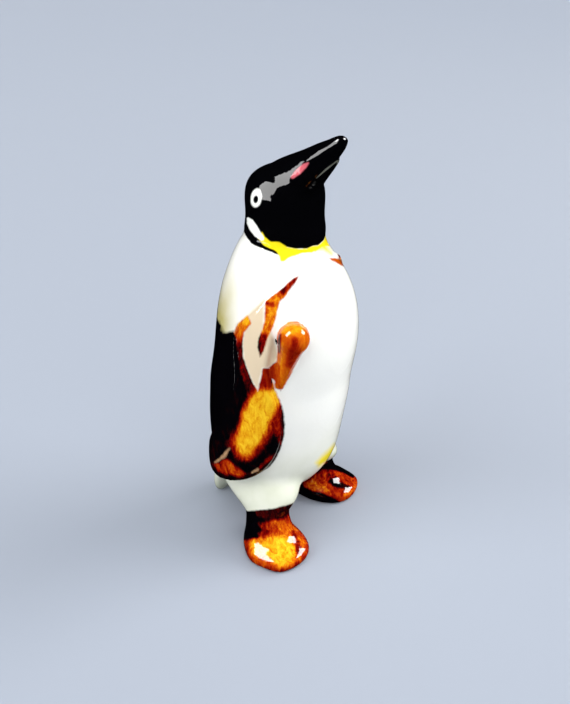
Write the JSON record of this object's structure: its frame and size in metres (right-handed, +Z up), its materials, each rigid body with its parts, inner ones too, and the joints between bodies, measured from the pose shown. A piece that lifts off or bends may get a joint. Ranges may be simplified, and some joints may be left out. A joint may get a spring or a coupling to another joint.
{
  "type": "penguin figurine",
  "caption": "Small hollow glazed earthenware penguin standing on webbed feet, looking up, with a round-headed walking stick under one flipper.",
  "frame": {"origin": "on the ground, under the middle of the box round the whole figurine", "axes": "+Z up; the penguin faces -Y and its right side, with the walking stick, is at -X"},
  "size_m": [0.0396, 0.035, 0.0897],
  "materials": {
    "white_glaze": "glossy clear glaze over a white body, black painted back",
    "black_glaze": "glossy clear glaze over black paint, white and yellow marks at the ear",
    "brown_glaze": "glossy clear glaze over mottled brown and ochre paint",
    "amber_glaze": "glossy clear glaze over amber paint"
  },
  "bodies": {
    "root": {"torso": "white_glaze", "head": "black_glaze", "upper_beak": "black_glaze", "lower_beak": "black_glaze", "right_thigh": "white_glaze", "left_thigh": "white_glaze", "right_foot": "brown_glaze", "left_foot": "brown_glaze", "tail": "white_glaze", "right_flipper": "brown_glaze", "left_flipper": "brown_glaze", "stick_handle": "amber_glaze"}
  },
  "joints": []
}
